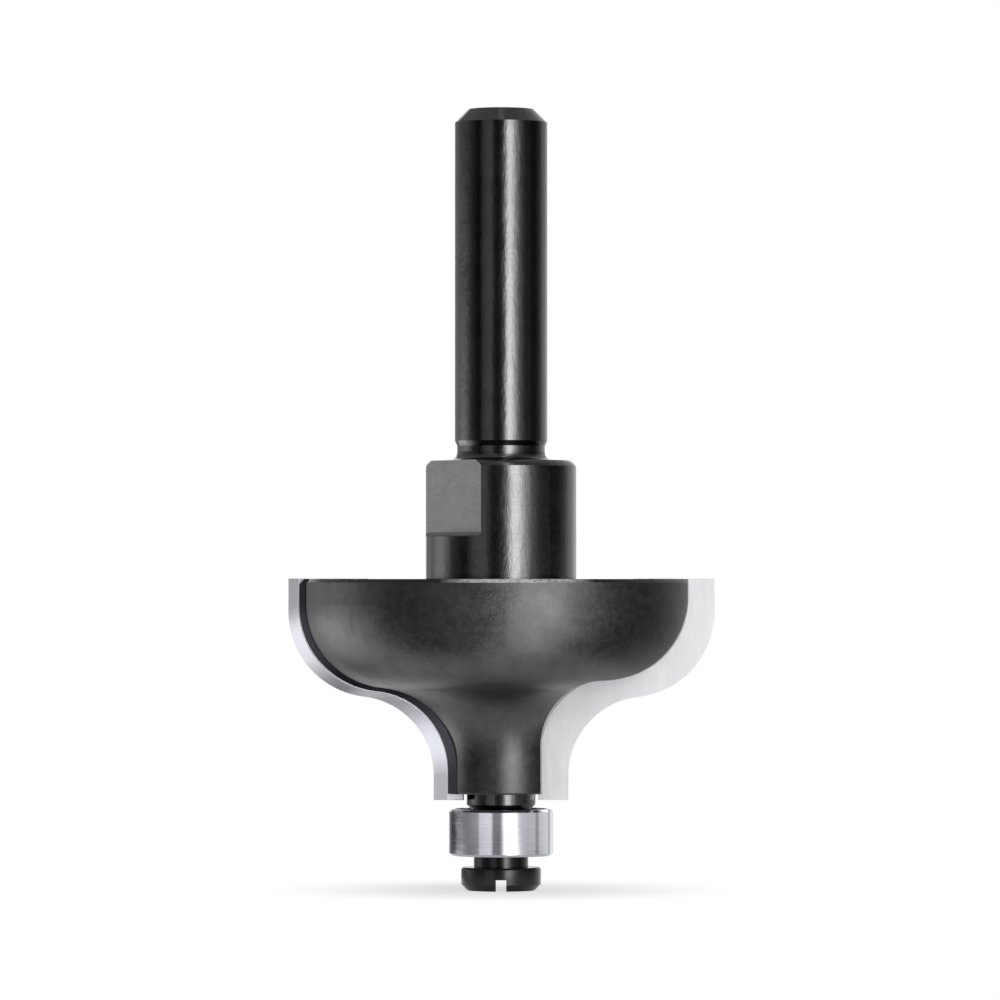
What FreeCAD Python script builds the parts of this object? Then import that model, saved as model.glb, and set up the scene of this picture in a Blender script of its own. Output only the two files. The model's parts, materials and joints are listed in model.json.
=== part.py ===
"""Two-flute ogee edge-forming router bit with a shielded pilot bearing.

Millimetres. The cutter's own axis is Z, shank up. Z = 0 is the lower face
of the pilot screw head. The cutting tips lie along plus and minus X.
"""
import FreeCAD, Part
import math
import os
from FreeCAD import Vector

# Heights along the axis, upwards from the screw head
screw_head_height = 2.0
spacer_height = 1.0
bearing_width = 4.0
shoulder_taper_height = 0.4
body_bottom_z = 8.35
tip_bottom_z = 7.75
head_top_z = 26.8
collar_top_z = 37.0
overall_height = 67.3

# Shank, undercut and collar
shank_diameter = 8.0
shank_chamfer = 1.15
undercut_diameter = 7.6
undercut_fillet = 0.75
undercut_straight = 0.5
undercut_run_out = 0.45
collar_diameter = 13.0
collar_chamfer = 0.5
collar_chamfer_crown = 0.04
wrench_size = 10.0
wrench_flat_height = 6.55
wrench_flat_root_radius = 0.4
wrench_flat_azimuth = 40.0

# Round head behind and in front of the tips
head_diameter = 33.7
neck_diameter = 9.36
head_convex_radius = 7.2
head_concave_radius = 6.4
head_convex_z = 24.6
head_edge_break = 0.3
neck_edge_break = 0.15
pilot_shoulder_diameter = 5.94

# Cutting outline and tips
cutting_diameter = 36.8
cutting_root_diameter = 11.6
cutting_convex_radius = 7.4
cutting_concave_radius = 6.8
cutting_convex_z = 24.0
rake_offset = 0.5
tip_thickness = 1.6
tip_rim_relief = 1.05
tip_root_relief = 1.3
tip_axial_relief = 0.42
tip_end_relief = 0.12
tip_stand_up = 0.04
tip_inner_x = 3.15
tip_inner_step_z = 14.0
tip_inner_top_x = 11.5
tip_inner_top_z = 23.5
braze_thickness = 0.1

# Steel ridge that backs each tip: its ground land falls from just under the
# tip's back edge to a low step onto the round head
ridge_set_in = 0.1
land_width = 0.9
land_rim_relief = 1.74
land_root_relief = 2.2
land_axial_relief = 0.7
ridge_top_chamfer = 0.5
ridge_inner_x = 0.1
ridge_overrun = 1.0

# Chip gullet in front of each tip
gullet_neck_width = 1.9
gullet_rim_width = 3.5
gullet_root_x = 2.9
gullet_root_step_z = 14.8
gullet_top_x = 9.5
gullet_top_z = 24.0
gullet_corner_radius = 0.6
cut_reach = 25.0

# Front lip of the gullet, cut back to its own S-curve inside the head's outline
lip_rim_inset = 0.5
lip_root_inset = 1.03
lip_convex_radius = 6.97
lip_concave_radius = 5.92
lip_convex_z = 25.16

# Pilot bearing, a shielded three by nine by four millimetre size
bearing_bore = 3.0
bearing_outside = 9.0
inner_race_outside = 5.1
outer_race_inside = 7.6
ball_diameter = 1.588
ball_pitch_diameter = 6.3
ball_count = 7
ball_clearance = 0.012
groove_radius = 0.82
race_chamfer = 0.2
bore_chamfer = 0.12
shield_seat_diameter = 8.0
shield_seat_depth = 0.45
shield_thickness = 0.15
shield_inner_gap = 0.08
shield_outer_clearance = 0.03
snap_groove_diameter = 8.2
snap_groove_start = 0.08
snap_groove_end = 0.32
snap_ring_section = 0.2
snap_ring_radial = 0.26
snap_ring_clearance = 0.02
snap_ring_opening_deg = 26.0
cage_inner_diameter = 5.44
cage_outer_diameter = 7.24
cage_below = 0.45
cage_above = 1.15
cage_pocket_clearance = 0.03

# Spacer and pilot screw
spacer_diameter = 4.7
spacer_bore_clearance = 0.04
screw_head_diameter = 6.9
screw_head_chamfer = 0.55
screw_head_top_break = 0.15
screw_thread_diameter = 2.94
screw_length = 13.0
screw_end_chamfer = 0.35
slot_width = 0.9
slot_depth = 1.0
slot_azimuth = 95.0
tapped_hole_diameter = 3.0
tapped_hole_depth = 10.0
tapped_hole_point = 0.8
tapped_hole_web = 0.15

# Sizes that follow from the ones above
spacer_bottom_z = screw_head_height
bearing_bottom_z = spacer_bottom_z + spacer_height
bearing_top_z = bearing_bottom_z + bearing_width
bearing_mid_z = bearing_bottom_z + bearing_width / 2
rake_y = rake_offset
tip_back_y = rake_y + tip_thickness
ridge_front_y = tip_back_y + braze_thickness
land_rear_y = ridge_front_y + land_width
tip_outer_x = math.sqrt((cutting_diameter / 2) ** 2 - rake_offset ** 2)
tip_root_x = math.sqrt((cutting_root_diameter / 2) ** 2 - rake_offset ** 2)
tip_top_z = head_top_z + tip_stand_up

centre_line = Vector(0, 0, 1)
origin = Vector(0, 0, 0)


def line(a, b):
    return Part.makeLine(a, b)


def closed(points):
    """Straight edges through the points and back to the first one."""
    loop = list(points) + [points[0]]
    return Part.makePolygon(loop)


def spun(points):
    """Solid of revolution about Z from points given as radius and height."""
    outline = closed([Vector(radius, 0, z) for radius, z in points])
    return Part.Face(outline).revolve(origin, centre_line, 360)


def ring(inner_diameter, outer_diameter, bottom_z, height):
    outer = Part.makeCylinder(outer_diameter / 2, height, Vector(0, 0, bottom_z))
    inner = Part.makeCylinder(inner_diameter / 2, height, Vector(0, 0, bottom_z))
    return outer.cut(inner)


def plate(points, y_start, y_end):
    """Prism across Y from points given as X and Z."""
    outline = closed([Vector(x, y_start, z) for x, z in points])
    return Part.Face(outline).extrude(Vector(0, y_end - y_start, 0))


def turned_half(shape):
    """The same shape on the opposite side of the cutter."""
    other = shape.copy()
    other.rotate(origin, centre_line, 180)
    return other


def ogee(outer, inner, convex_radius, concave_radius, convex_z, bottom_z, top_z, y, top_chamfer=0.0):
    """S-curve from the top outside corner down to the bottom inside corner.

    The convex arc starts from a vertical line at the outside, the concave
    arc ends in one at the inside, and the two arcs touch each other.
    """
    convex_x = outer - convex_radius
    concave_x = inner + concave_radius
    reach = convex_radius + concave_radius
    across = concave_x - convex_x
    drop = math.sqrt(reach ** 2 - across ** 2)
    concave_z = convex_z - drop
    turn = math.atan2(-drop, across)

    def on_convex(angle):
        return Vector(convex_x + convex_radius * math.cos(angle), y,
                      convex_z + convex_radius * math.sin(angle))

    def on_concave(angle):
        return Vector(concave_x + concave_radius * math.cos(angle), y,
                      concave_z + concave_radius * math.sin(angle))

    edges = []
    start = Vector(outer, y, top_z)
    if top_chamfer > 0:
        lower = Vector(outer, y, top_z - top_chamfer)
        start = Vector(outer - top_chamfer, y, top_z)
        edges.append(line(start, lower))
        edges.append(line(lower, on_convex(0)))
    else:
        edges.append(line(start, on_convex(0)))
    edges.append(Part.Arc(on_convex(0), on_convex(turn / 2), on_convex(turn)).toShape())
    opposite = turn + math.pi
    middle = (opposite + math.pi) / 2
    edges.append(Part.Arc(on_concave(opposite), on_concave(middle), on_concave(math.pi)).toShape())
    end = Vector(inner, y, bottom_z)
    edges.append(line(on_concave(math.pi), end))
    return edges, start, end


def ridge_section(y, rim_relief, root_relief, axial_relief):
    """Outline of the steel behind a tip, moved in and up from the cutting outline.

    It runs past the head at both ends and is trimmed by ridge_limit.
    """
    low_z = body_bottom_z - ridge_overrun
    high_z = head_top_z + ridge_overrun
    edges, start, end = ogee(tip_outer_x - rim_relief, tip_root_x - root_relief, cutting_convex_radius,
                             cutting_concave_radius, cutting_convex_z + axial_relief, low_z, high_z, y)
    low = Vector(ridge_inner_x, y, low_z)
    high = Vector(ridge_inner_x, y, high_z)
    return Part.Wire(edges + [line(end, low), line(low, high), line(high, start)])


def ridge_front(y):
    """Outline of the ridge's front end, a little inside the tip's back outline."""
    return ridge_section(y, tip_rim_relief + ridge_set_in, tip_root_relief + ridge_set_in,
                         tip_axial_relief + ridge_set_in)


def tip_section(y, rim_relief, root_relief, axial_relief, end_relief):
    """Closed outline of a tip at one distance behind its rake face."""
    bottom = tip_bottom_z + end_relief
    edges, start, end = ogee(tip_outer_x - rim_relief, tip_root_x - root_relief, cutting_convex_radius,
                             cutting_concave_radius, cutting_convex_z + axial_relief, bottom, tip_top_z, y)
    corners = [end, Vector(tip_inner_x, y, bottom), Vector(tip_inner_x, y, tip_inner_step_z),
               Vector(tip_inner_top_x, y, tip_inner_top_z), Vector(tip_inner_top_x, y, tip_top_z), start]
    sides = [line(a, b) for a, b in zip(corners, corners[1:])]
    return Part.Wire(edges + sides)


def outside_of(x_shift, y_start, y_end):
    """Everything outside the inner boundary of a tip, shifted along X."""
    points = [(tip_inner_x + x_shift, 0), (tip_inner_x + x_shift, tip_inner_step_z),
              (tip_inner_top_x + x_shift, tip_inner_top_z), (tip_inner_top_x + x_shift, collar_top_z),
              (cut_reach, collar_top_z), (cut_reach, 0)]
    return plate(points, y_start, y_end)


# Turned part of the body: shoulder, neck, head, collar, undercut and shank.
# It is spun in quarters, so that each cutting tool meets small patches.
def make_turned():
    shoulder_r = pilot_shoulder_diameter / 2
    seat_r = inner_race_outside / 2
    neck_r = neck_diameter / 2
    collar_r = collar_diameter / 2
    shank_r = shank_diameter / 2
    undercut_r = undercut_diameter / 2
    curve, top, bottom = ogee(head_diameter / 2, neck_r, head_convex_radius, head_concave_radius,
                              head_convex_z, body_bottom_z + neck_edge_break, head_top_z, 0,
                              head_edge_break)
    below = [(neck_r - neck_edge_break, body_bottom_z), (shoulder_r, body_bottom_z),
             (shoulder_r, bearing_top_z + shoulder_taper_height), (seat_r, bearing_top_z),
             (0, bearing_top_z)]
    lower = [bottom] + [Vector(radius, 0, z) for radius, z in below]
    fillet_r = undercut_r + undercut_fillet
    fillet_z = collar_top_z + undercut_fillet
    lean = math.radians(45)
    fillet = Part.Arc(Vector(fillet_r, 0, collar_top_z),
                      Vector(fillet_r - undercut_fillet * math.sin(lean), 0,
                             fillet_z - undercut_fillet * math.cos(lean)),
                      Vector(undercut_r, 0, fillet_z)).toShape()
    middle = [top, Vector(collar_r, 0, head_top_z), Vector(collar_r, 0, collar_top_z - collar_chamfer)]
    corner_end = Vector(collar_r - collar_chamfer, 0, collar_top_z)
    bulge = collar_chamfer_crown * math.sqrt(0.5)
    corner_mid = (middle[-1] + corner_end) * 0.5 + Vector(bulge, 0, bulge)
    corner = Part.Arc(middle[-1], corner_mid, corner_end).toShape()
    straight_z = fillet_z + undercut_straight
    after = [(undercut_r, fillet_z), (undercut_r, straight_z), (shank_r, straight_z + undercut_run_out),
             (shank_r, overall_height - shank_chamfer), (shank_r - shank_chamfer, overall_height),
             (0, overall_height), (0, bearing_top_z)]
    upper = [Vector(radius, 0, z) for radius, z in after]
    edges = list(curve)
    for chain in (lower, middle, upper):
        edges += [line(a, b) for a, b in zip(chain, chain[1:])]
    edges += [corner, line(corner_end, Vector(fillet_r, 0, collar_top_z)), fillet]
    outline = Part.Face(Part.Wire(Part.__sortEdges__(edges)))
    outline.rotate(origin, centre_line, -45)
    quarters = []
    for index in range(4):
        quarter = outline.revolve(origin, centre_line, 90)
        quarter.rotate(origin, centre_line, 90 * index)
        quarters.append(quarter)
    return quarters[0].fuse(quarters[1:])


def ridge_limit():
    """Space a ridge may fill: the head's height, less the broken top corner."""
    limit = Part.makeBox(cut_reach, land_rear_y, head_top_z - body_bottom_z, Vector(0, 0, body_bottom_z))
    corner_x = tip_outer_x - tip_rim_relief - ridge_set_in - ridge_top_chamfer
    corner = plate([(corner_x, head_top_z), (corner_x + cut_reach, head_top_z),
                    (corner_x + cut_reach, head_top_z - cut_reach)], 0, cut_reach)
    return limit.cut(corner)


# Ridge of steel behind a tip: seat block and ground land
def make_ridge():
    block = Part.Face(ridge_front(rake_y)).extrude(Vector(0, ridge_front_y - rake_y, 0))
    land_rear = ridge_section(land_rear_y, land_rim_relief, land_root_relief, land_axial_relief)
    land = Part.makeLoft([ridge_front(ridge_front_y), land_rear], True, True)
    return block.fuse(land).common(ridge_limit())


def gullet_front_y(x):
    """Front wall of a gullet, which opens out from the neck to the rim."""
    spread = (gullet_rim_width - gullet_neck_width) / (head_diameter / 2 - neck_diameter / 2)
    return rake_y - gullet_neck_width - spread * (x - neck_diameter / 2)


def make_gullet():
    points = [(gullet_root_x, 0), (gullet_root_x, gullet_root_step_z), (gullet_top_x, gullet_top_z),
              (gullet_top_x, collar_top_z), (cut_reach, collar_top_z), (cut_reach, 0)]
    tool = plate(points, -cut_reach, rake_y)
    plan = closed([Vector(0, rake_y, 0), Vector(cut_reach, rake_y, 0),
                   Vector(cut_reach, gullet_front_y(cut_reach), 0), Vector(0, gullet_front_y(0), 0)])
    tool = tool.common(Part.Face(plan).extrude(Vector(0, 0, collar_top_z)))
    root_edges = []
    for edge in tool.Edges:
        ends = [vertex.Point for vertex in edge.Vertexes]
        at_front = all(abs(p.y - gullet_front_y(p.x)) < 1e-6 for p in ends)
        at_root = all(p.x < gullet_top_x + 1e-6 for p in ends)
        if at_front and at_root:
            root_edges.append(edge)
    return tool.makeFillet(gullet_corner_radius, root_edges)


def make_lip_tool():
    """Space in front of the rake face outside the gullet lip's outline."""
    edges, start, end = ogee(head_diameter / 2 - lip_rim_inset, neck_diameter / 2 - lip_root_inset,
                             lip_convex_radius, lip_concave_radius, lip_convex_z, 0,
                             collar_top_z, -cut_reach)
    low = Vector(cut_reach, -cut_reach, 0)
    high = Vector(cut_reach, -cut_reach, collar_top_z)
    outline = Part.Wire(edges + [line(end, low), line(low, high), line(high, start)])
    return Part.Face(outline).extrude(Vector(0, cut_reach + rake_y, 0))


def make_flat_tool():
    """Space milled away beside one wrench flat, with the mill's corner radius at its foot."""
    face_x = wrench_size / 2
    foot_z = collar_top_z - wrench_flat_height
    tool = Part.makeBox(collar_diameter, 2 * collar_diameter, wrench_flat_height + 1,
                        Vector(face_x, -collar_diameter, foot_z))
    root = [edge for edge in tool.Edges
            if edge.BoundBox.XMax < face_x + 1e-6 and edge.BoundBox.ZMax < foot_z + 1e-6]
    tool = tool.makeFillet(wrench_flat_root_radius, root)
    tool.rotate(origin, centre_line, wrench_flat_azimuth)
    return tool


def make_body():
    body = make_turned()
    ridge = make_ridge()
    body = body.fuse([ridge, turned_half(ridge)])
    pocket = outside_of(-braze_thickness, rake_y - gullet_neck_width / 2, ridge_front_y)
    gullet = make_gullet()
    lip = make_lip_tool()
    hole_r = tapped_hole_diameter / 2
    hole_end_z = bearing_top_z + tapped_hole_depth
    hole = spun([(0, bearing_top_z - 1), (hole_r, bearing_top_z - 1), (hole_r, hole_end_z),
                 (tapped_hole_web, hole_end_z + tapped_hole_point), (0, hole_end_z + tapped_hole_point)])
    body = body.cut([pocket, turned_half(pocket), gullet, turned_half(gullet),
                     lip, turned_half(lip), hole])
    flat = make_flat_tool()
    body = body.cut([flat, turned_half(flat)])
    return body.removeSplitter()


def make_tip():
    front = tip_section(rake_y, 0.0, 0.0, 0.0, 0.0)
    back = tip_section(tip_back_y, tip_rim_relief, tip_root_relief, tip_axial_relief, tip_end_relief)
    return Part.makeLoft([front, back], True, True)


def make_braze():
    outline = Part.Face(ridge_front(rake_y))
    layer = outline.extrude(Vector(0, ridge_front_y - rake_y, 0))
    layer = layer.common(outside_of(-braze_thickness, rake_y, ridge_front_y)).common(ridge_limit())
    return layer.cut(outside_of(0.0, rake_y - 1.0, tip_back_y))


# Pilot bearing
def make_inner_race():
    race = ring(bearing_bore, inner_race_outside, bearing_bottom_z, bearing_width)
    bottom_r = ball_pitch_diameter / 2 - ball_diameter / 2 - ball_clearance
    groove = Part.makeTorus(bottom_r + groove_radius, groove_radius, Vector(0, 0, bearing_mid_z))
    race = race.cut(groove)
    bore_edges = [e for e in race.Edges
                  if e.Curve.TypeId == "Part::GeomCircle" and abs(e.Curve.Radius - bearing_bore / 2) < 1e-6]
    return race.makeChamfer(bore_chamfer, bore_edges)


def make_outer_race():
    outside = bearing_outside / 2
    seat_r = shield_seat_diameter / 2
    groove_r = snap_groove_diameter / 2
    land_r = outer_race_inside / 2
    half = bearing_width / 2
    side = [(outside, half - race_chamfer), (outside - race_chamfer, half), (seat_r, half),
            (seat_r, half - snap_groove_start), (groove_r, half - snap_groove_start),
            (groove_r, half - snap_groove_end), (seat_r, half - snap_groove_end),
            (seat_r, half - shield_seat_depth), (land_r, half - shield_seat_depth)]
    mirrored = [(radius, -z) for radius, z in reversed(side)]
    race = spun([(radius, bearing_mid_z + z) for radius, z in side + mirrored])
    bottom_r = ball_pitch_diameter / 2 + ball_diameter / 2 + ball_clearance
    groove = Part.makeTorus(bottom_r - groove_radius, groove_radius, Vector(0, 0, bearing_mid_z))
    return race.cut(groove)


def ball_centres():
    for index in range(ball_count):
        angle = 2 * math.pi * index / ball_count
        pitch_r = ball_pitch_diameter / 2
        yield Vector(pitch_r * math.cos(angle), pitch_r * math.sin(angle), bearing_mid_z)


def make_cage():
    cage = ring(cage_inner_diameter, cage_outer_diameter, bearing_mid_z - cage_below,
                cage_below + cage_above)
    pocket_r = ball_diameter / 2 + cage_pocket_clearance
    pockets = []
    for centre in ball_centres():
        outwards = Vector(centre.x, centre.y, 0)
        pockets.append(Part.makeCylinder(pocket_r, cage_outer_diameter, origin + Vector(0, 0, centre.z),
                                         outwards))
    return cage.cut(pockets)


def make_shield(face_z, inward):
    """Shield for one side; inward is +1 or -1 along Z from that face."""
    near = face_z + inward * (shield_seat_depth - shield_thickness)
    far = face_z + inward * shield_seat_depth
    inner = inner_race_outside + 2 * shield_inner_gap
    outer = shield_seat_diameter - 2 * shield_outer_clearance
    return ring(inner, outer, min(near, far), shield_thickness)


def make_snap_ring(face_z, inward, opening_azimuth):
    far = face_z + inward * (shield_seat_depth - shield_thickness)
    near = far - inward * snap_ring_section
    outer = snap_groove_diameter - 2 * snap_ring_clearance
    body = ring(outer - 2 * snap_ring_radial, outer, min(near, far), snap_ring_section)
    wedge = Part.makeCylinder(outer, 1.0, Vector(0, 0, min(near, far) - 0.4), centre_line,
                              snap_ring_opening_deg)
    wedge.rotate(origin, centre_line, opening_azimuth - snap_ring_opening_deg / 2)
    return body.cut(wedge)


# Spacer and pilot screw
def make_spacer():
    bore = screw_thread_diameter + 2 * spacer_bore_clearance
    return ring(bore, spacer_diameter, spacer_bottom_z, spacer_height)


def make_screw():
    head_r = screw_head_diameter / 2
    thread_r = screw_thread_diameter / 2
    end_z = screw_head_height + screw_length
    screw = spun([(0, 0), (head_r - screw_head_chamfer, 0), (head_r, screw_head_chamfer),
                  (head_r, screw_head_height - screw_head_top_break),
                  (head_r - screw_head_top_break, screw_head_height), (thread_r, screw_head_height),
                  (thread_r, end_z - screw_end_chamfer), (thread_r - screw_end_chamfer, end_z), (0, end_z)])
    slot = Part.makeBox(2 * screw_head_diameter, slot_width, slot_depth,
                        Vector(-screw_head_diameter, -slot_width / 2, 0))
    slot.rotate(origin, centre_line, slot_azimuth)
    return screw.cut(slot)


def save(name, shape):
    shape.exportStep("parts/" + name + ".step")
    print(name, shape.isValid(), len(shape.Solids), round(shape.Volume, 3))


os.makedirs("parts", exist_ok=True)
save("cutter_body", make_body())
tip = make_tip()
save("carbide_tip_1", tip)
save("carbide_tip_2", turned_half(tip))
braze = make_braze()
save("braze_layer_1", braze)
save("braze_layer_2", turned_half(braze))
save("bearing_inner_race", make_inner_race())
save("bearing_outer_race", make_outer_race())
save("bearing_cage", make_cage())
for number, centre in enumerate(ball_centres(), start=1):
    save("bearing_ball_" + str(number), Part.makeSphere(ball_diameter / 2, centre))
save("shield_lower", make_shield(bearing_bottom_z, 1))
save("shield_upper", make_shield(bearing_top_z, -1))
save("snap_ring_lower", make_snap_ring(bearing_bottom_z, 1, 40.0))
save("snap_ring_upper", make_snap_ring(bearing_top_z, -1, 220.0))
save("spacer_ring", make_spacer())
save("pilot_screw", make_screw())
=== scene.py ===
"""Looks for the edge-forming router bit: materials, studio, floor and camera."""
import json
import math
import bpy
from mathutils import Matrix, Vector

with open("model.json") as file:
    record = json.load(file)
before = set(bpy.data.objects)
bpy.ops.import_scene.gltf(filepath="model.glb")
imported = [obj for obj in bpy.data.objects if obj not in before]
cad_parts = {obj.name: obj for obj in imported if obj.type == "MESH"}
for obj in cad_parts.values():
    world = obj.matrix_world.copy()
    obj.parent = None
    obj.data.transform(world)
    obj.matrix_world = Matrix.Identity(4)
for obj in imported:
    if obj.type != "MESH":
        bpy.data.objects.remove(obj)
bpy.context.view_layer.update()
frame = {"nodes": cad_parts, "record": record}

nodes = frame["nodes"]
MM = 0.001

# Heights and radii of the cutter that the finishes follow, in millimetres
HEAD_TOP = 26.8
BODY_BOTTOM = 8.35
PILOT_RADIUS = 3.0
FLAT_OUT = 5.0
FLAT_AZIMUTH = math.radians(40.0)
LEDGE_FROM = 30.4
LEDGE_TO = 30.9
LAND_FRONT = 2.19
LAND_REAR = 3.11
LAND_INNER = 3.3
EDGE_BREAK = 0.3
# Direction round the axis, near the camera's, of the painted highlight on the head's edge break
PAINTED_HIGHLIGHT_AZIMUTH = math.radians(-80.0)

# Cosines of the angle from the middle of the edge's painted highlight: where it starts, and where it is
# full
PAINTED_HIGHLIGHT_REACH = (0.92, 0.97)

# How near a facet has to be to a height or plane, in millimetres, and how closely it has to face a way
HEIGHT_SLACK = 0.01
PLANE_SLACK = 0.02
SAME_WAY = 0.999
CHAMFER_RISE = (0.2, 0.95)
TIP_FACE_TURN = 0.95

# Depth of the scratches, as a share of the rings' height
SCRATCH_DEPTH = 0.4

# Where the camera stands, measured round the axis
CAMERA_AZIMUTH = math.radians(5.0)
CAMERA_DISTANCE = 0.535
CAMERA_HEIGHT = 0.0268
CAMERA_LENS = 223.4
AIM = Vector((-0.00009, 0.0, 0.03361))


class Graph:
    """Short calls for building one material's or the world's nodes."""

    def __init__(self, tree):
        self.tree = tree
        tree.nodes.clear()

    def put(self, value, socket):
        if value is None:
            return
        if isinstance(value, bpy.types.NodeSocket):
            self.tree.links.new(value, socket)
        elif socket.type == "RGBA" and isinstance(value, (int, float)):
            socket.default_value = (value, value, value, 1.0)
        elif socket.type == "RGBA" and len(value) == 3:
            socket.default_value = (*value, 1.0)
        else:
            socket.default_value = value

    def node(self, kind, inputs=None, **settings):
        made = self.tree.nodes.new("ShaderNode" + kind)
        for key, value in settings.items():
            setattr(made, key, value)
        for key, value in (inputs or {}).items():
            self.put(value, made.inputs[key])
        return made

    def maths(self, operation, a, b=None, c=None, clamp=False):
        made = self.tree.nodes.new("ShaderNodeMath")
        made.operation = operation
        made.use_clamp = clamp
        for index, value in enumerate((a, b, c)):
            self.put(value, made.inputs[index])
        return made.outputs[0]

    def span(self, value, low, high, to_low=0.0, to_high=1.0, kind="LINEAR"):
        made = self.node("MapRange", {"Value": value, "From Min": low, "From Max": high,
                                      "To Min": to_low, "To Max": to_high}, interpolation_type=kind)
        return made.outputs["Result"]

    def mix(self, factor, a, b, blend="MIX"):
        made = self.tree.nodes.new("ShaderNodeMix")
        made.data_type = "RGBA"
        made.blend_type = blend
        self.put(factor, made.inputs["Factor"])
        self.put(a, made.inputs["A"])
        self.put(b, made.inputs["B"])
        return made.outputs["Result"]

    def ramp(self, value, stops, kind="LINEAR"):
        made = self.node("ValToRGB", {"Fac": value})
        ramp = made.color_ramp
        ramp.interpolation = kind
        while len(ramp.elements) < len(stops):
            ramp.elements.new(0.5)
        for element, (place, colour) in zip(ramp.elements, stops):
            element.position = place
            if isinstance(colour, (int, float)):
                colour = (colour, colour, colour)
            element.color = (*colour, 1.0)
        return made.outputs["Color"]

    def noise(self, vector, scale, detail=3.0, rough=0.55, distortion=0.0):
        made = self.node("TexNoise", {"Vector": vector, "Scale": scale, "Detail": detail,
                                      "Roughness": rough, "Distortion": distortion})
        return made.outputs["Fac"]

    def mapping(self, vector, scale=(1, 1, 1), rotation=(0, 0, 0), location=(0, 0, 0)):
        made = self.node("Mapping", {"Vector": vector, "Scale": scale, "Rotation": rotation,
                                     "Location": location})
        return made.outputs["Vector"]

    def bump(self, height, strength, distance, normal=None):
        made = self.node("Bump", {"Height": height, "Strength": strength, "Distance": distance,
                                  "Normal": normal})
        return made.outputs["Normal"]


def new_material(name):
    made = bpy.data.materials.new(name)
    made.use_nodes = True
    graph = Graph(made.node_tree)
    out = graph.node("OutputMaterial")
    shader = graph.node("BsdfPrincipled")
    graph.put(shader.outputs["BSDF"], out.inputs["Surface"])
    place = graph.node("TexCoord").outputs["Object"]
    millimetres = graph.mapping(place, scale=(1000, 1000, 1000))
    return made, graph, shader, millimetres


def place_parts(graph, millimetres):
    """X, Y and Z, and the distance from the axis, all in millimetres."""
    parts = graph.node("SeparateXYZ", {"Vector": millimetres})
    x, y, z = parts.outputs["X"], parts.outputs["Y"], parts.outputs["Z"]
    radius = graph.maths("SQRT", graph.maths("ADD", graph.maths("MULTIPLY", x, x),
                                             graph.maths("MULTIPLY", y, y)))
    return x, y, z, radius


def ring_vector(graph, millimetres, round_scale, radial_scale, height_scale):
    """Texture space stretched round the axis, without a seam: unit circle, then radius and height."""
    x, y, z, radius = place_parts(graph, millimetres)
    safe = graph.maths("MAXIMUM", radius, 0.01)
    unit_x = graph.maths("MULTIPLY", graph.maths("DIVIDE", x, safe), round_scale)
    unit_y = graph.maths("MULTIPLY", graph.maths("DIVIDE", y, safe), round_scale)
    along = graph.maths("ADD", graph.maths("MULTIPLY", z, height_scale),
                        graph.maths("MULTIPLY", radius, radial_scale))
    joined = graph.node("CombineXYZ", {"X": unit_x, "Y": unit_y, "Z": along})
    return joined.outputs["Vector"]


def seen_in_metal(graph, path):
    """1 for a ray that a metal or clear surface sends on, 0 for any other."""
    return graph.maths("MAXIMUM", path.outputs["Is Glossy Ray"], path.outputs["Is Transmission Ray"])


def turned_metal(name, colour, roughness, ring_strength=0.12, ring_scale=9.0, smudge=0.08,
                 radial=0.0, tone=0.18, ripple=0.0):
    """Ground or turned metal with rings round the axis, smudges, fine scratches and soft waves."""
    made, g, shader, mm = new_material(name)
    rings = g.noise(ring_vector(g, mm, 0.6, radial, ring_scale), 1.0, detail=4.0, rough=0.7)
    fine = g.noise(ring_vector(g, mm, 1.6, radial * 3.0, ring_scale * 3.4), 1.0, detail=2.0, rough=0.6)
    cloud = g.noise(mm, 0.35, detail=4.0, rough=0.6, distortion=0.4)
    scratch_space = g.mapping(mm, scale=(0.5, 0.5, 7.0), rotation=(0.9, 0.35, 0.2))
    scratches = g.noise(scratch_space, 1.9, detail=5.0, rough=0.75)
    scratch_mask = g.span(scratches, 0.66, 0.74)
    shade = g.ramp(cloud, [(0.25, 1.0 - tone), (0.75, 1.0 + tone * 0.5)])
    shade_rings = g.ramp(rings, [(0.3, 1.0 - tone * 0.4), (0.7, 1.0)])
    base = g.mix(1.0, g.mix(1.0, colour, shade, "MULTIPLY"), shade_rings, "MULTIPLY")
    g.put(base, shader.inputs["Base Color"])
    shader.inputs["Metallic"].default_value = 1.0
    rough = g.span(cloud, 0.25, 0.8, roughness - smudge * 0.5, roughness + smudge)
    rough = g.maths("ADD", rough, g.span(fine, 0.3, 0.7, -0.02, 0.03))
    rough = g.maths("ADD", rough, g.maths("MULTIPLY", scratch_mask, 0.12), clamp=True)
    g.put(rough, shader.inputs["Roughness"])
    height = g.maths("ADD", rings, g.maths("MULTIPLY", fine, 0.5))
    height = g.maths("SUBTRACT", height, g.maths("MULTIPLY", scratch_mask, SCRATCH_DEPTH))
    normal = None
    if ripple > 0:
        waves = g.noise(g.mapping(mm, scale=(2.4, 2.4, 0.9)), 1.0, detail=4.0, rough=0.6)
        normal = g.bump(waves, ripple, 0.00003)
    g.put(g.bump(height, ring_strength, 0.000012, normal), shader.inputs["Normal"])
    return made


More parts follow.
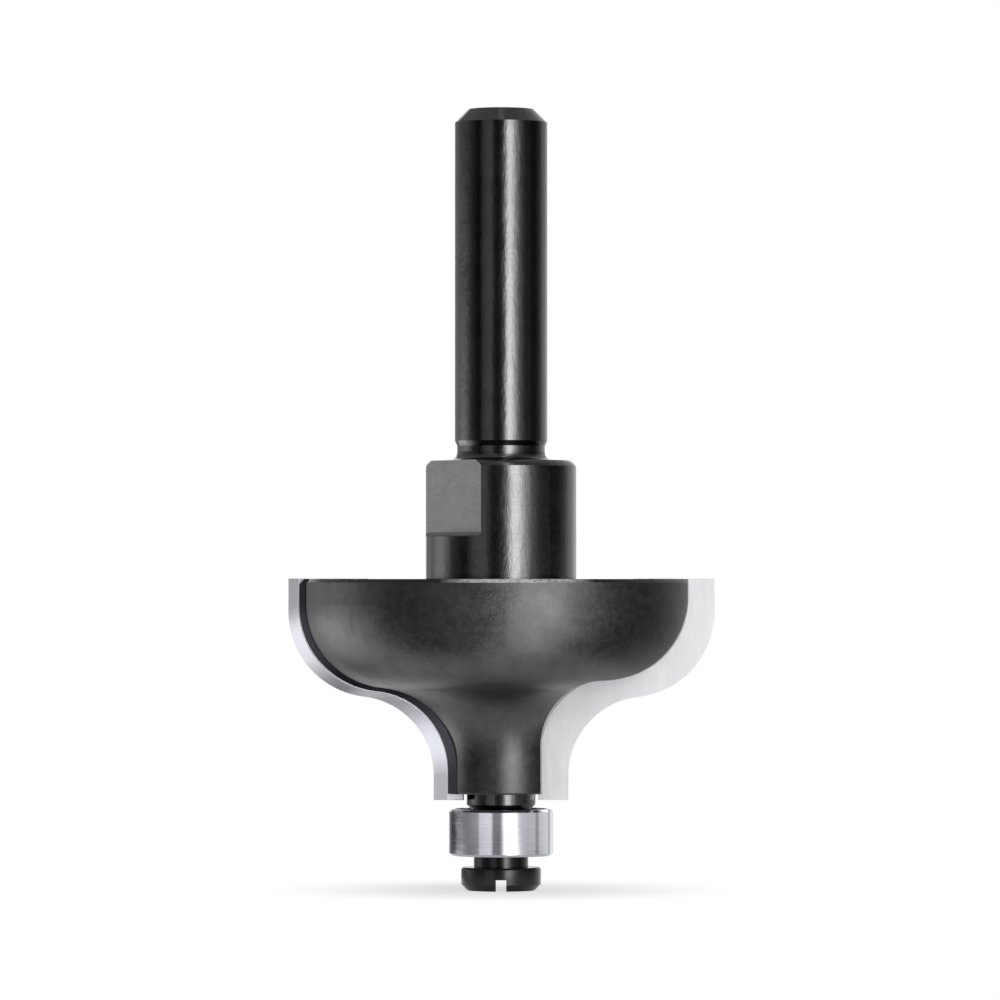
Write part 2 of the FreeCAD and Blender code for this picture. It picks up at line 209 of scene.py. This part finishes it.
def blasted_metal(name, colour, roughness):
    """Fine bead-blasted steel: soft mottling and a close grain."""
    made, g, shader, mm = new_material(name)
    broad = g.noise(mm, 0.55, detail=3.0, rough=0.55, distortion=0.3)
    patch = g.noise(mm, 1.7, detail=4.0, rough=0.6)
    grain = g.noise(mm, 11.0, detail=3.0, rough=0.65)
    pits = g.node("TexVoronoi", {"Vector": mm, "Scale": 7.0, "Randomness": 1.0}, feature="F1")
    pit = g.span(pits.outputs["Distance"], 0.0, 0.45)
    shade = g.ramp(broad, [(0.3, 0.84), (0.7, 1.1)])
    shade = g.mix(1.0, shade, g.ramp(patch, [(0.3, 0.86), (0.72, 1.08)]), "MULTIPLY")
    shade = g.mix(1.0, shade, g.ramp(grain, [(0.3, 0.82), (0.7, 1.14)]), "MULTIPLY")
    g.put(g.mix(1.0, colour, shade, "MULTIPLY"), shader.inputs["Base Color"])
    shader.inputs["Metallic"].default_value = 1.0
    rough = g.maths("ADD", g.span(patch, 0.3, 0.7, roughness - 0.05, roughness + 0.05),
                    g.span(grain, 0.3, 0.7, -0.05, 0.05), clamp=True)
    g.put(rough, shader.inputs["Roughness"])
    height = g.maths("ADD", grain, g.maths("MULTIPLY", pit, 0.6))
    height = g.maths("ADD", height, g.maths("MULTIPLY", patch, 0.8))
    g.put(g.bump(height, 0.3, 0.00003), shader.inputs["Normal"])
    return made


def edge_with_painted_highlight(name, dark, bright, roughness):
    """Broken edge of the head, dark but for two opposite stretches painted bright as a highlight, one of
    them facing the camera.
    """
    made, g, shader, mm = new_material(name)
    x, y, z, radius = place_parts(g, mm)
    along = g.maths("ADD", g.maths("MULTIPLY", x, math.cos(PAINTED_HIGHLIGHT_AZIMUTH)),
                    g.maths("MULTIPLY", y, math.sin(PAINTED_HIGHLIGHT_AZIMUTH)))
    near = g.span(g.maths("DIVIDE", g.maths("ABSOLUTE", along), radius), *PAINTED_HIGHLIGHT_REACH)
    speck = g.noise(mm, 1.8, detail=4.0, rough=0.65)
    highlight_mask = g.maths("MULTIPLY", near, g.span(speck, 0.3, 0.6, 0.45, 1.0))
    g.put(g.mix(highlight_mask, dark, bright), shader.inputs["Base Color"])
    shader.inputs["Metallic"].default_value = 1.0
    g.put(g.span(speck, 0.3, 0.7, roughness - 0.08, roughness + 0.08), shader.inputs["Roughness"])
    g.put(g.bump(speck, 0.4, 0.00002), shader.inputs["Normal"])
    return made


def streaked_metal(name, colour, roughness, along, across, strength=0.15, tone=0.12, metallic=1.0,
                   edge=1.0):
    """Milled, ground or moulded face with fine straight streaks, darker at a grazing view by edge."""
    made, g, shader, mm = new_material(name)
    streak = g.noise(g.mapping(mm, scale=along), 1.0, detail=4.0, rough=0.65)
    fine = g.noise(g.mapping(mm, scale=across), 1.0, detail=3.0, rough=0.6)
    cloud = g.noise(mm, 0.5, detail=3.0, rough=0.6)
    shade = g.ramp(streak, [(0.3, 1.0 - tone), (0.7, 1.0 + tone * 0.5)])
    shade = g.mix(1.0, shade, g.ramp(cloud, [(0.3, 1.0 - tone * 0.7), (0.7, 1.0)]), "MULTIPLY")
    g.put(g.mix(1.0, colour, shade, "MULTIPLY"), shader.inputs["Base Color"])
    shader.inputs["Metallic"].default_value = metallic
    shader.inputs["Specular Tint"].default_value = (edge, edge, edge, 1.0)
    rough = g.maths("ADD", g.span(streak, 0.3, 0.7, roughness - 0.05, roughness + 0.05),
                    g.span(fine, 0.3, 0.7, -0.03, 0.03), clamp=True)
    g.put(rough, shader.inputs["Roughness"])
    height = g.maths("ADD", streak, g.maths("MULTIPLY", fine, 0.6))
    g.put(g.bump(height, strength, 0.000015), shader.inputs["Normal"])
    return made


# Head's edge break: dark, with a painted highlight on the stretch toward the camera and on the one
# opposite it
painted_highlight_rim = edge_with_painted_highlight("rim_with_painted_highlight", (0.04, 0.04, 0.042), (0.85, 0.85, 0.84), 0.3)
burnished = turned_metal("burnished_black", (0.1, 0.1, 0.102), 0.1, smudge=0.05, ripple=0.55)
blasted = blasted_metal("blasted_head", (0.095, 0.095, 0.0965), 0.4)
milled = streaked_metal("milled_flat", (0.25, 0.25, 0.254), 0.4, (1.0, 1.0, 9.0), (4.0, 4.0, 30.0),
                        strength=0.25, tone=0.22)
ground = streaked_metal("ground_land", (0.045, 0.044, 0.052), 0.36, (0.6, 5.0, 0.6), (2.0, 18.0, 2.0),
                        edge=0.35)
carbide = streaked_metal("ground_carbide", (0.9, 0.9, 0.92), 0.5, (5.0, 5.0, 0.5), (16.0, 16.0, 2.0),
                         tone=0.05)
relief = streaked_metal("carbide_relief", (0.42, 0.425, 0.46), 0.36, (0.7, 7.0, 0.7), (2.0, 20.0, 2.0),
                        tone=0.1)
braze = streaked_metal("silver_braze", (0.62, 0.58, 0.47), 0.4, (3.0, 3.0, 3.0), (9.0, 9.0, 9.0),
                       tone=0.2)
chrome = turned_metal("bearing_race", (0.7, 0.71, 0.77), 0.05, ring_strength=0.02, smudge=0.03,
                      tone=0.05)
ball = turned_metal("bearing_ball", (0.78, 0.79, 0.8), 0.06, ring_strength=0.02, tone=0.03, smudge=0.02)
nylon = streaked_metal("moulded_nylon", (0.72, 0.66, 0.52), 0.5, (1.0, 1.0, 1.0), (6.0, 6.0, 6.0),
                       metallic=0.0)
shield = turned_metal("rolled_shield", (0.5, 0.51, 0.53), 0.28, radial=9.0, ring_scale=0.5, tone=0.1)
wire = turned_metal("spring_wire", (0.35, 0.36, 0.38), 0.3, radial=5.0, tone=0.1)
black = turned_metal("blackened_screw", (0.042, 0.042, 0.044), 0.13, radial=6.0, ring_scale=6.0)

FINISHES = {"braze": braze, "bearing_steel": chrome, "ball_steel": ball, "cage": nylon,
            "shield_steel": shield, "spring_steel": wire, "black_steel": black}
BODY_FINISHES = (burnished, blasted, milled, ground, painted_highlight_rim)
BURNISHED, BLASTED, MILLED, GROUND, PAINTED_HIGHLIGHT_RIM = range(5)
SLOT_OF = {row["node"]: row["material_slot"] for row in frame["record"]["subparts"]}


def finish_of_body(centre, normal):
    """Which of the body's finishes a facet has, from where it is and the way it faces."""
    x, y, z = centre / MM
    radius = math.hypot(x, y)
    if z > HEAD_TOP + HEIGHT_SLACK:
        flat = Vector((math.cos(FLAT_AZIMUTH), math.sin(FLAT_AZIMUTH), 0.0))
        out = abs(x * flat.x + y * flat.y)
        on_flat = abs(normal.dot(flat)) > SAME_WAY and abs(out - FLAT_OUT) < PLANE_SLACK
        on_ledge = LEDGE_FROM < z < LEDGE_TO and out > FLAT_OUT and normal.z > 0.02
        return MILLED if on_flat or on_ledge else BURNISHED
    if z < BODY_BOTTOM + HEIGHT_SLACK and radius < PILOT_RADIUS:
        return BURNISHED
    # The head's top edge break gets the rim with the painted highlight
    if z > HEAD_TOP - EDGE_BREAK and CHAMFER_RISE[0] < normal.z < CHAMFER_RISE[1]:
        return PAINTED_HIGHLIGHT_RIM
    half_turn = 1.0 if x > 0 else -1.0
    in_land = LAND_FRONT <= y * half_turn <= LAND_REAR and x * half_turn > LAND_INNER
    if in_land and z > BODY_BOTTOM and normal.z < 0.9:
        return GROUND
    return BLASTED


for name, obj in nodes.items():
    obj.data.materials.clear()
    if name == "cutter_body":
        for made in BODY_FINISHES:
            obj.data.materials.append(made)
        for polygon in obj.data.polygons:
            polygon.material_index = finish_of_body(polygon.center, polygon.normal)
    elif name.startswith("carbide_tip"):
        for made in (carbide, relief):
            obj.data.materials.append(made)
        for polygon in obj.data.polygons:
            polygon.material_index = 0 if abs(polygon.normal.y) > TIP_FACE_TURN else 1
    else:
        obj.data.materials.append(FINISHES[SLOT_OF[name]])

# Floor, a small disc with a soft shadow by the cutter that fades to white at its edge
FLOOR_RADIUS = 0.023
FADE_FROM = 0.004
FADE_TO = FLOOR_RADIUS * 0.95
FADE_TO_IN_METAL = 0.015
bpy.ops.mesh.primitive_circle_add(vertices=96, radius=FLOOR_RADIUS, fill_type="NGON",
                                  location=(0, 0, 0))
floor = bpy.context.object
floor.name = "floor"
made = bpy.data.materials.new("floor_white")
made.use_nodes = True
g = Graph(made.node_tree)
out = g.node("OutputMaterial")
paint = g.node("BsdfDiffuse", {"Color": (0.8, 0.8, 0.8)})
glow = g.node("Emission", {"Color": (1.0, 1.0, 1.0), "Strength": 1.0})
path = g.node("LightPath")
place = g.node("TexCoord").outputs["Object"]
length = g.node("VectorMath", {0: place}, operation="LENGTH").outputs["Value"]
share = g.span(length, FADE_FROM, FADE_TO, 0.65, 1.0, "SMOOTHSTEP")
share_in_metal = g.span(length, FADE_FROM, FADE_TO_IN_METAL, 0.3, 1.0, "SMOOTHSTEP")
seen = g.maths("ADD", g.maths("MULTIPLY", path.outputs["Is Camera Ray"], share),
               g.maths("MULTIPLY", seen_in_metal(g, path), share_in_metal), clamp=True)
blend = g.node("MixShader", {0: seen, 1: paint.outputs[0], 2: glow.outputs[0]})
g.put(blend.outputs[0], out.inputs["Surface"])
floor.data.materials.append(made)

# Studio round the cutter: directions are measured from the camera, positive to its right
world = bpy.data.worlds.new("studio")
bpy.context.scene.world = world
world.use_nodes = True
g = Graph(world.node_tree)
out = g.node("OutputWorld")
direction = g.node("TexCoord").outputs["Generated"]
turned = g.mapping(direction, rotation=(0, 0, math.pi / 2 - CAMERA_AZIMUTH))
parts = g.node("SeparateXYZ", {"Vector": turned})
azimuth = g.maths("ARCTAN2", parts.outputs["Y"], parts.outputs["X"])
turn = g.span(azimuth, -math.pi, math.pi)


def level_round(stops):
    """Light level by the direction round the cutter, from pairs of degrees and level."""
    return g.ramp(turn, [(degrees / 360.0 + 0.5, level / LEVEL) for degrees, level in stops])


# Levels of the studio's lamp, walls and dark cards, where 1 is white and LEVEL the brightest
LEVEL = 8.0
OVERHEAD = 0.4
bands = [(-180, 1.4), (-171, 1.4), (-166, 0.25), (-154, 0.25), (-146, 0.6), (-120, 0.55), (-92, 0.35),
         (-72, 0.15), (-62, 0.04), (-53, 0.04), (-46, 0.3), (-36, 0.45), (-24, 0.55), (-17, 0.12),
         (-8, 0.05), (3, 0.2), (10, 1.6), (17, 8.0), (25, 8.0), (34, 3.8), (46, 0.9), (60, 0.2),
         (80, 0.06), (97, 0.06), (112, 0.25), (126, 0.8), (158, 1.0), (163, 0.25), (173, 0.25),
         (178, 1.4), (180, 1.4)]

# Levels a little below level sight, which the bearing's rim mirrors
low_bands = [(-180, 0.2), (-146, 0.2), (-140, 0.05), (-120, 0.06), (-115, 0.17), (-88, 0.2),
             (-52, 0.48), (-48, 0.9), (-22, 1.05), (-17, 0.34), (-3, 0.32), (1, 0.6), (5, 1.5), (34, 1.5),
             (38, 0.68), (80, 0.75), (84, 0.42), (90, 0.46), (95, 0.8), (124, 0.9), (134, 0.42),
             (140, 1.0), (160, 1.0), (164, 0.15), (180, 0.15)]

# Two pale cards at the left, one low and one under the head
card = [(-130, 0.0), (-110, 1.2), (-100, 1.2), (-80, 0.0)]
under_card = [(-146, 0.0), (-137, 1.6), (-112, 1.6), (-96, 0.0)]

# Sector behind the cutter where metal sees the white background: where it starts, and where it is full
BACKDROP_FROM = math.radians(158.0)
BACKDROP_FULL = math.radians(166.0)

rise = parts.outputs["Z"]
side = level_round(bands)
side = g.mix(1.0, side, g.span(rise, -0.3, 0.0, 0.7, 1.0), "MULTIPLY")
side = g.mix(1.0, side, g.span(rise, 0.03, 0.06, 1.0, 0.74), "MULTIPLY")
side = g.mix(g.span(rise, 0.045, 0.02), side, level_round(card), "ADD")
below = g.maths("MULTIPLY", g.span(rise, -0.05, -0.15), g.span(rise, -0.7, -0.45))
side = g.mix(below, side, level_round(under_card), "ADD")
by_rim = g.maths("MULTIPLY", g.span(rise, -0.018, -0.03), g.span(rise, -0.05, -0.045))
side = g.mix(by_rim, side, level_round(low_bands))
overhead = g.span(rise, 0.4, 0.75, 0.0, 0.7, kind="SMOOTHSTEP")
studio = g.mix(overhead, side, OVERHEAD / LEVEL)
white = g.node("Background", {"Color": (1, 1, 1), "Strength": 1.0})
lit = g.node("Background", {"Color": studio, "Strength": LEVEL})
path = g.node("LightPath")
behind = g.span(g.maths("ABSOLUTE", azimuth), BACKDROP_FROM, BACKDROP_FULL)
in_backdrop = g.maths("MULTIPLY", seen_in_metal(g, path), behind)
seen = g.maths("MAXIMUM", path.outputs["Is Camera Ray"], in_backdrop)
blend = g.node("MixShader", {0: seen, 1: lit.outputs[0], 2: white.outputs[0]})
g.put(blend.outputs[0], out.inputs["Surface"])

# Camera at the photograph's viewing angle
data = bpy.data.cameras.new("camera")
camera = bpy.data.objects.new("camera", data)
bpy.context.scene.collection.objects.link(camera)
data.sensor_width = 36.0
data.lens = CAMERA_LENS
camera.location = (CAMERA_DISTANCE * math.sin(CAMERA_AZIMUTH),
                   -CAMERA_DISTANCE * math.cos(CAMERA_AZIMUTH), CAMERA_HEIGHT)
camera.rotation_mode = "QUATERNION"
camera.rotation_quaternion = (AIM - camera.location).to_track_quat("-Z", "Y")
data.clip_start = 0.01
data.clip_end = 50.0
bpy.context.scene.camera = camera
bpy.context.scene.view_settings.view_transform = "Standard"
